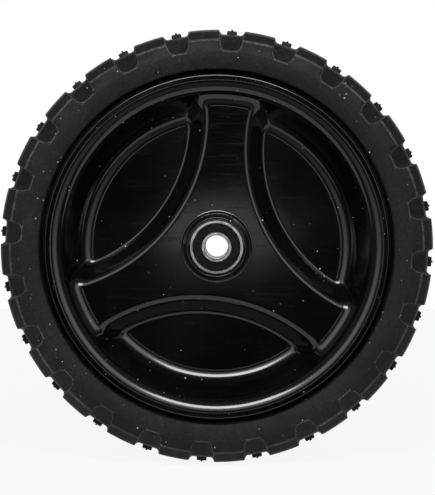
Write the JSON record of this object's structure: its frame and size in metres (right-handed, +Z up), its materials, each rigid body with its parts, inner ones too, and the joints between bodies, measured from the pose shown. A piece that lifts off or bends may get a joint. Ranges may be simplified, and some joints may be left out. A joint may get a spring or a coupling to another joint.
{
  "type": "lawn mower wheel",
  "caption": "Lawn mower wheel with a spoked plastic rim, a lugged rubber tyre and a sealed ball bearing at each end of the hub, turning on a plain axle through its bore.",
  "frame": {"origin": "centre of the wheel, on the axle line in the tyre's middle plane", "axes": "+Y along the axle from the outer face to the back, +Z up, the outer face looks to -Y"},
  "size_m": [0.2278, 0.05, 0.2278],
  "materials": {
    "tyre_rubber": "satin moulded rubber",
    "rim_plastic": "gloss moulded plastic",
    "race_steel": "ground",
    "ball_steel": "polished",
    "cage_steel": "pressed sheet",
    "seal_rubber": "satin",
    "spacer_steel": "drawn tube"
  },
  "bodies": {
    "axle_sleeve": {"front_bearing_inner_race": "race_steel", "rear_bearing_inner_race": "race_steel", "spacer_tube": "spacer_steel"},
    "wheel": {"tyre": "tyre_rubber", "wheel_rim": "rim_plastic", "front_bearing_outer_race": "race_steel", "front_bearing_front_seal": "seal_rubber", "front_bearing_rear_seal": "seal_rubber", "rear_bearing_outer_race": "race_steel", "rear_bearing_front_seal": "seal_rubber", "rear_bearing_rear_seal": "seal_rubber"},
    "front_ball_set": {"front_bearing_balls": "ball_steel", "front_bearing_cage_front_half": "cage_steel", "front_bearing_cage_rear_half": "cage_steel", "front_bearing_rivets": "cage_steel"},
    "rear_ball_set": {"rear_bearing_balls": "ball_steel", "rear_bearing_cage_front_half": "cage_steel", "rear_bearing_cage_rear_half": "cage_steel", "rear_bearing_rivets": "cage_steel"}
  },
  "joints": [
    {"name": "wheel_spin", "type": "hinge", "parent": "axle_sleeve", "child": "wheel", "pos_m": [0, 0, 0], "axis": [0, 1, 0], "continuous": true},
    {"name": "front_balls_orbit", "type": "hinge", "parent": "axle_sleeve", "child": "front_ball_set", "pos_m": [0, 0, 0], "axis": [0, 1, 0], "continuous": true},
    {"name": "rear_balls_orbit", "type": "hinge", "parent": "axle_sleeve", "child": "rear_ball_set", "pos_m": [0, 0, 0], "axis": [0, 1, 0], "continuous": true}
  ],
  "couplings": [
    {"joint": "front_balls_orbit", "follows": "wheel_spin", "ratio": 0.61905},
    {"joint": "rear_balls_orbit", "follows": "wheel_spin", "ratio": 0.61905}
  ]
}
